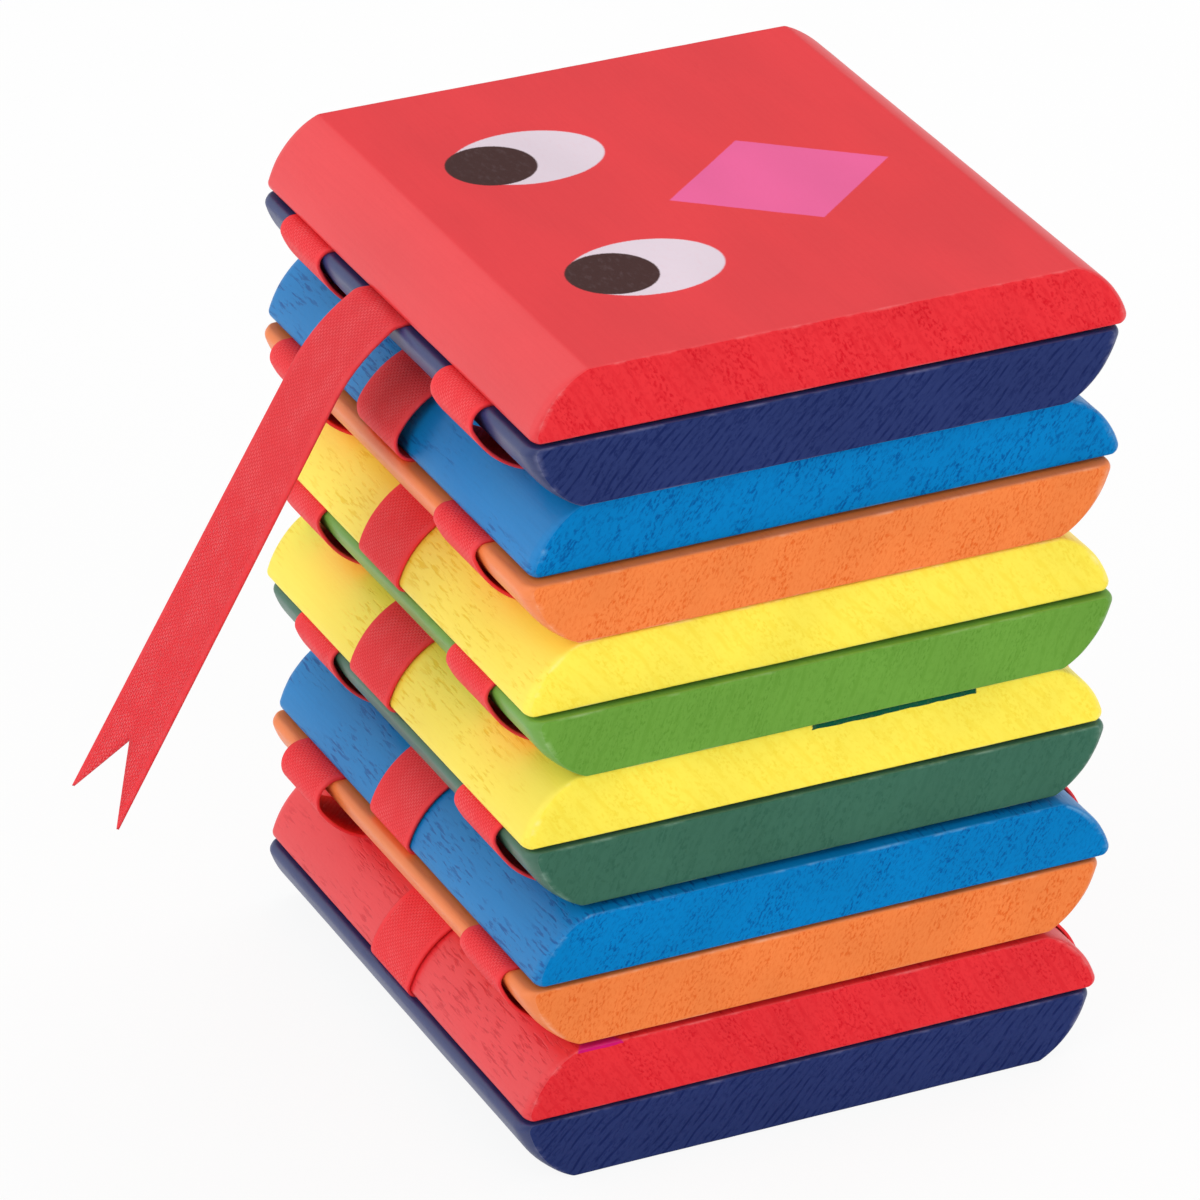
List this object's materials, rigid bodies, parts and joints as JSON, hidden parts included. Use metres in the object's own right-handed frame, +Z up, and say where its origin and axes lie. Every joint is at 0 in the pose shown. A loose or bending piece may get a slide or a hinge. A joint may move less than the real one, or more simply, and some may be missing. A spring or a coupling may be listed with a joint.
{
  "type": "jacobs ladder toy",
  "caption": "Wooden ribbon-hinged tumbling toy shaped as a snake: painted two-board tiles stacked on crossing ribbons, with a face on the top tile and a forked ribbon tongue.",
  "frame": {"origin": "centre of the bottom face of the lowest board, tile_6_lower_board", "axes": "+Z up the stack, X across from one ribbon edge to the other with the tongue at -X, Y along the grain with the pictured sawn faces at -Y"},
  "size_m": [0.108, 0.0724, 0.0978],
  "materials": {
    "red_paint": "thin satin paint over bare grain",
    "navy_paint": "thin satin paint over bare grain",
    "blue_paint": "thin satin paint over bare grain",
    "orange_paint": "thin satin paint over bare grain",
    "yellow_paint": "thin satin paint over bare grain",
    "green_paint": "thin satin paint over bare grain",
    "dark_green_paint": "thin satin paint over bare grain",
    "ribbon": "fine ribbed red woven ribbon"
  },
  "bodies": {
    "tile_1": {"tile_1_upper_board": "red_paint", "tile_1_lower_board": "navy_paint", "ribbon_1_2_back": "ribbon", "ribbon_1_2_front": "ribbon", "tongue": "ribbon"},
    "tile_2": {"tile_2_upper_board": "blue_paint", "tile_2_lower_board": "orange_paint", "ribbon_2_3_middle": "ribbon", "ribbon_1_2_middle": "ribbon"},
    "tile_3": {"tile_3_upper_board": "yellow_paint", "tile_3_lower_board": "green_paint", "ribbon_3_4_back": "ribbon", "ribbon_3_4_front": "ribbon", "ribbon_2_3_back": "ribbon", "ribbon_2_3_front": "ribbon"},
    "tile_4": {"tile_4_upper_board": "yellow_paint", "tile_4_lower_board": "dark_green_paint", "ribbon_4_5_middle": "ribbon", "ribbon_3_4_middle": "ribbon"},
    "tile_5": {"tile_5_upper_board": "blue_paint", "tile_5_lower_board": "orange_paint", "ribbon_5_6_back": "ribbon", "ribbon_5_6_front": "ribbon", "ribbon_4_5_back": "ribbon", "ribbon_4_5_front": "ribbon"},
    "tile_6": {"tile_6_upper_board": "red_paint", "tile_6_lower_board": "navy_paint", "ribbon_5_6_middle": "ribbon"}
  },
  "joints": [
    {"name": "hinge_5_6", "type": "hinge", "parent": "tile_6", "child": "tile_5", "pos_m": [0.0371, 0, 0.0161], "axis": [0, 1, 0], "range_deg": [0, 180], "deforming": ["ribbon_5_6_back", "ribbon_5_6_middle", "ribbon_5_6_front"]},
    {"name": "hinge_4_5", "type": "hinge", "parent": "tile_5", "child": "tile_4", "pos_m": [-0.0352, 0, 0.0325], "axis": [0, -1, 0], "range_deg": [0, 180], "deforming": ["ribbon_4_5_back", "ribbon_4_5_middle", "ribbon_4_5_front"]},
    {"name": "hinge_3_4", "type": "hinge", "parent": "tile_4", "child": "tile_3", "pos_m": [0.0371, 0, 0.0489], "axis": [0, 1, 0], "range_deg": [0, 180], "deforming": ["ribbon_3_4_back", "ribbon_3_4_middle", "ribbon_3_4_front"]},
    {"name": "hinge_2_3", "type": "hinge", "parent": "tile_3", "child": "tile_2", "pos_m": [-0.0352, 0, 0.0653], "axis": [0, -1, 0], "range_deg": [0, 180], "deforming": ["ribbon_2_3_back", "ribbon_2_3_middle", "ribbon_2_3_front", "tongue"]},
    {"name": "hinge_1_2", "type": "hinge", "parent": "tile_2", "child": "tile_1", "pos_m": [0.0371, 0, 0.0817], "axis": [0, 1, 0], "range_deg": [0, 180], "deforming": ["ribbon_1_2_back", "ribbon_1_2_middle", "ribbon_1_2_front"]}
  ]
}
